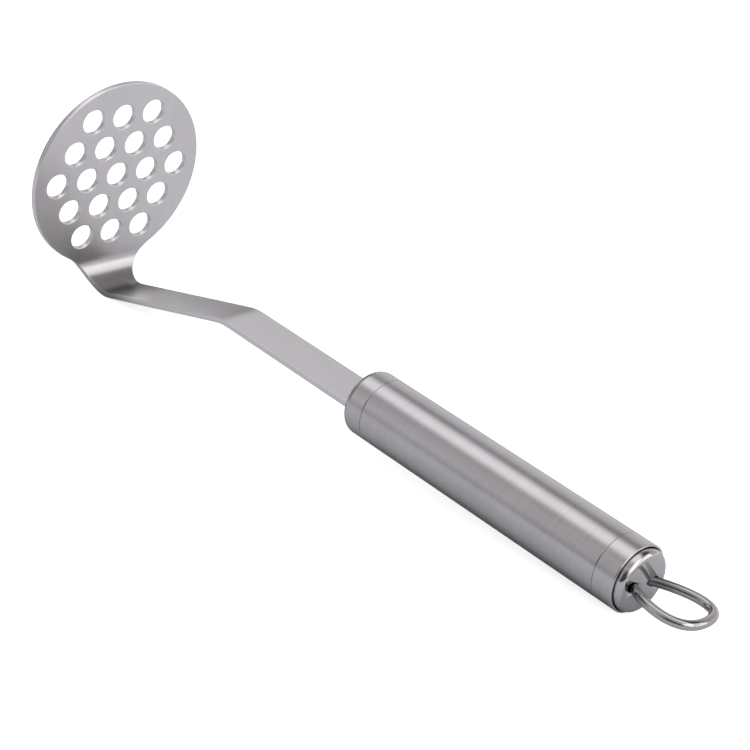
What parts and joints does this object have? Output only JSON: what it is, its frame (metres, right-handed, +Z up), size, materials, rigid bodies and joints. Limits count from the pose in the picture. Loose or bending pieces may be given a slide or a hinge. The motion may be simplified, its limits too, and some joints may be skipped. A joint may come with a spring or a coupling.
{
  "type": "potato masher",
  "caption": "Hand masher with a round perforated steel disc on a cranked flat stem, a hollow round metal handle with end ferrules, and a wire hanging loop.",
  "frame": {"origin": "middle of the outline, on the surface the tool lies on", "axes": "+Z up as the tool lies on its neck and the handle's rear end, +X along the tool from the disc to the hanging loop, +Y across it"},
  "size_m": [0.3224, 0.0786, 0.088],
  "materials": {
    "satin_steel": "fine satin, light lengthwise streaks at the neck",
    "brushed_handle_steel": "satin turned round the handle",
    "polished_steel": "mirror polished",
    "black_rubber": "matte",
    "black_plastic": "moulded, matte"
  },
  "bodies": {
    "root": {"masher_blade": "satin_steel", "front_ferrule": "brushed_handle_steel", "handle_tube": "brushed_handle_steel", "rear_ferrule": "brushed_handle_steel", "end_cap": "polished_steel", "hanging_loop": "polished_steel", "cap_seal": "black_rubber", "tang_insert": "black_plastic", "loop_anchor": "black_plastic"}
  },
  "joints": []
}
